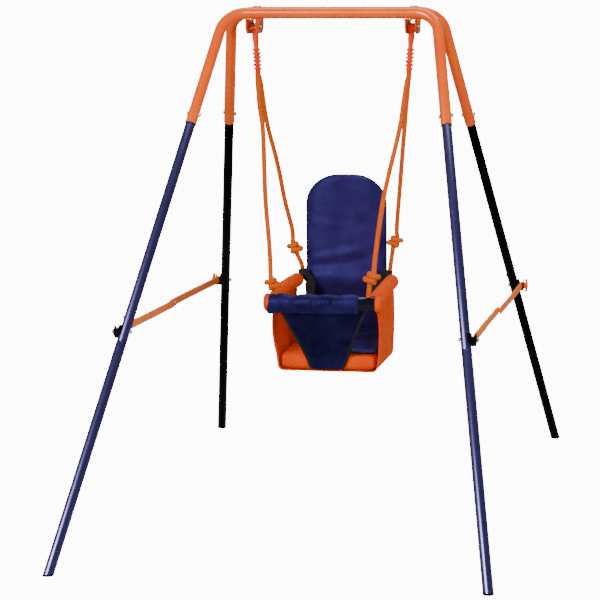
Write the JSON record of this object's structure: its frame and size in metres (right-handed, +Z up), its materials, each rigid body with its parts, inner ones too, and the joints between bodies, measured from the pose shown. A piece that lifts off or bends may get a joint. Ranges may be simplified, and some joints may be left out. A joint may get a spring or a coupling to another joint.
{
  "type": "toddler swing",
  "caption": "Folding A-frame toddler swing with locking side braces and a fabric bucket seat that hangs on ropes, with a padded back, a bar in front and a crotch panel.",
  "frame": {"origin": "on the ground under the middle of the four feet", "axes": "+Z up, the front of the seat faces -Y, and the top bars lie along X"},
  "size_m": [0.9254, 1.6214, 1.1351],
  "materials": {
    "orange_paint": "glossy powder coat",
    "navy_paint": "glossy powder coat",
    "black_paint": "satin powder coat",
    "black_plastic": "matte",
    "orange_plastic": "satin",
    "navy_plastic": "glossy",
    "zinc": "bright zinc",
    "orange_rope": "braided",
    "orange_cloth": "woven",
    "dark_cloth": "woven",
    "navy_cloth": "quilted",
    "black_webbing": "woven"
  },
  "bodies": {
    "front_frame": {"front_top_tube": "orange_paint", "front_left_middle_tube": "navy_paint", "front_left_lower_tube": "navy_paint", "front_left_foot_plug": "black_plastic", "front_left_seam_bolt": "zinc", "front_left_hinge_block": "black_plastic", "front_left_brace_bolt": "zinc", "front_right_middle_tube": "navy_paint", "front_right_lower_tube": "navy_paint", "front_right_foot_plug": "black_plastic", "front_right_seam_bolt": "zinc", "front_right_hinge_block": "black_plastic", "front_right_brace_bolt": "zinc", "left_hanger_bracket": "orange_paint", "left_rear_bar_strap": "orange_paint", "left_bracket_bolt": "zinc", "left_hanger_bolt": "zinc", "right_hanger_bracket": "orange_paint", "right_rear_bar_strap": "orange_paint", "right_bracket_bolt": "zinc", "right_hanger_bolt": "zinc"},
    "rear_frame": {"rear_top_tube": "orange_paint", "rear_left_middle_tube": "black_paint", "rear_left_lower_tube": "black_paint", "rear_left_foot_plug": "black_plastic", "rear_left_seam_bolt": "zinc", "rear_left_hinge_block": "black_plastic", "rear_left_brace_bolt": "zinc", "rear_right_middle_tube": "black_paint", "rear_right_lower_tube": "black_paint", "rear_right_foot_plug": "black_plastic", "rear_right_seam_bolt": "zinc", "rear_right_hinge_block": "black_plastic", "rear_right_brace_bolt": "zinc"},
    "left_front_brace": {"left_front_brace_half": "orange_paint", "left_brace_middle_bolt": "zinc"},
    "left_rear_brace": {"left_rear_brace_half": "orange_paint"},
    "left_knob": {"left_wing_knob": "orange_plastic"},
    "right_front_brace": {"right_front_brace_half": "orange_paint", "right_brace_middle_bolt": "zinc"},
    "right_rear_brace": {"right_rear_brace_half": "orange_paint"},
    "right_knob": {"right_wing_knob": "orange_plastic"},
    "front_left_button": {"front_left_spring_button": "zinc"},
    "front_right_button": {"front_right_spring_button": "zinc"},
    "rear_left_button": {"rear_left_spring_button": "zinc"},
    "rear_right_button": {"rear_right_spring_button": "zinc"},
    "swing": {"left_rope_hanger": "orange_plastic", "left_rope": "orange_rope", "left_arm_sleeve": "orange_cloth", "left_side_webbing": "black_webbing", "right_rope_hanger": "orange_plastic", "right_rope": "orange_rope", "right_arm_sleeve": "orange_cloth", "right_side_webbing": "black_webbing", "front_bar": "navy_plastic", "front_bar_sleeve": "dark_cloth", "seat_cover": "orange_cloth", "seat_board": "black_plastic", "crotch_panel": "dark_cloth", "back_pad": "navy_cloth"}
  },
  "joints": [
    {"name": "frame_fold", "type": "hinge", "parent": "front_frame", "child": "rear_frame", "pos_m": [0, 0.047, 1.12], "axis": [-1, 0, 0], "range_deg": [0, 68]},
    {"name": "seat_swing", "type": "hinge", "parent": "front_frame", "child": "swing", "pos_m": [0, 0.014, 1.085], "axis": [1, 0, 0], "range_deg": [-45, 45]},
    {"name": "left_front_brace_fold", "type": "hinge", "parent": "front_frame", "child": "left_front_brace", "pos_m": [-0.38168, -0.47967, 0.45682], "axis": [1, 0, 0], "range_deg": [0, 74.5]},
    {"name": "left_rear_brace_fold", "type": "hinge", "parent": "rear_frame", "child": "left_rear_brace", "pos_m": [-0.38168, 0.50312, 0.43886], "axis": [-1, 0, 0], "range_deg": [0, 29.8]},
    {"name": "left_knob_turn", "type": "hinge", "parent": "rear_frame", "child": "left_knob", "pos_m": [-0.38168, 0.50312, 0.43886], "axis": [-1, 0, 0], "continuous": true},
    {"name": "right_front_brace_fold", "type": "hinge", "parent": "front_frame", "child": "right_front_brace", "pos_m": [0.38168, -0.47967, 0.45682], "axis": [1, 0, 0], "range_deg": [0, 74.5]},
    {"name": "right_rear_brace_fold", "type": "hinge", "parent": "rear_frame", "child": "right_rear_brace", "pos_m": [0.38168, 0.50312, 0.43886], "axis": [-1, 0, 0], "range_deg": [0, 29.8]},
    {"name": "right_knob_turn", "type": "hinge", "parent": "rear_frame", "child": "right_knob", "pos_m": [0.38168, 0.50312, 0.43886], "axis": [1, 0, 0], "continuous": true},
    {"name": "front_left_button_press", "type": "slide", "parent": "front_frame", "child": "front_left_button", "axis": [0.9883, -0.0868, -0.125], "range_m": [0, 0.004], "stiffness_N_per_m": 900},
    {"name": "front_right_button_press", "type": "slide", "parent": "front_frame", "child": "front_right_button", "axis": [-0.1039, -0.8259, 0.5542], "range_m": [0, 0.004], "stiffness_N_per_m": 900},
    {"name": "rear_left_button_press", "type": "slide", "parent": "rear_frame", "child": "rear_left_button", "axis": [-0.0981, -0.835, -0.5414], "range_m": [0, 0.004], "stiffness_N_per_m": 900},
    {"name": "rear_right_button_press", "type": "slide", "parent": "rear_frame", "child": "rear_right_button", "axis": [0.9888, -0.0829, 0.1237], "range_m": [0, 0.004], "stiffness_N_per_m": 900}
  ],
  "couplings": [
    {"joint": "left_front_brace_fold", "follows": "frame_fold", "ratio": 1.0939},
    {"joint": "left_rear_brace_fold", "follows": "frame_fold", "ratio": 0.43705},
    {"joint": "right_front_brace_fold", "follows": "frame_fold", "ratio": 1.0939},
    {"joint": "right_rear_brace_fold", "follows": "frame_fold", "ratio": 0.43705}
  ]
}
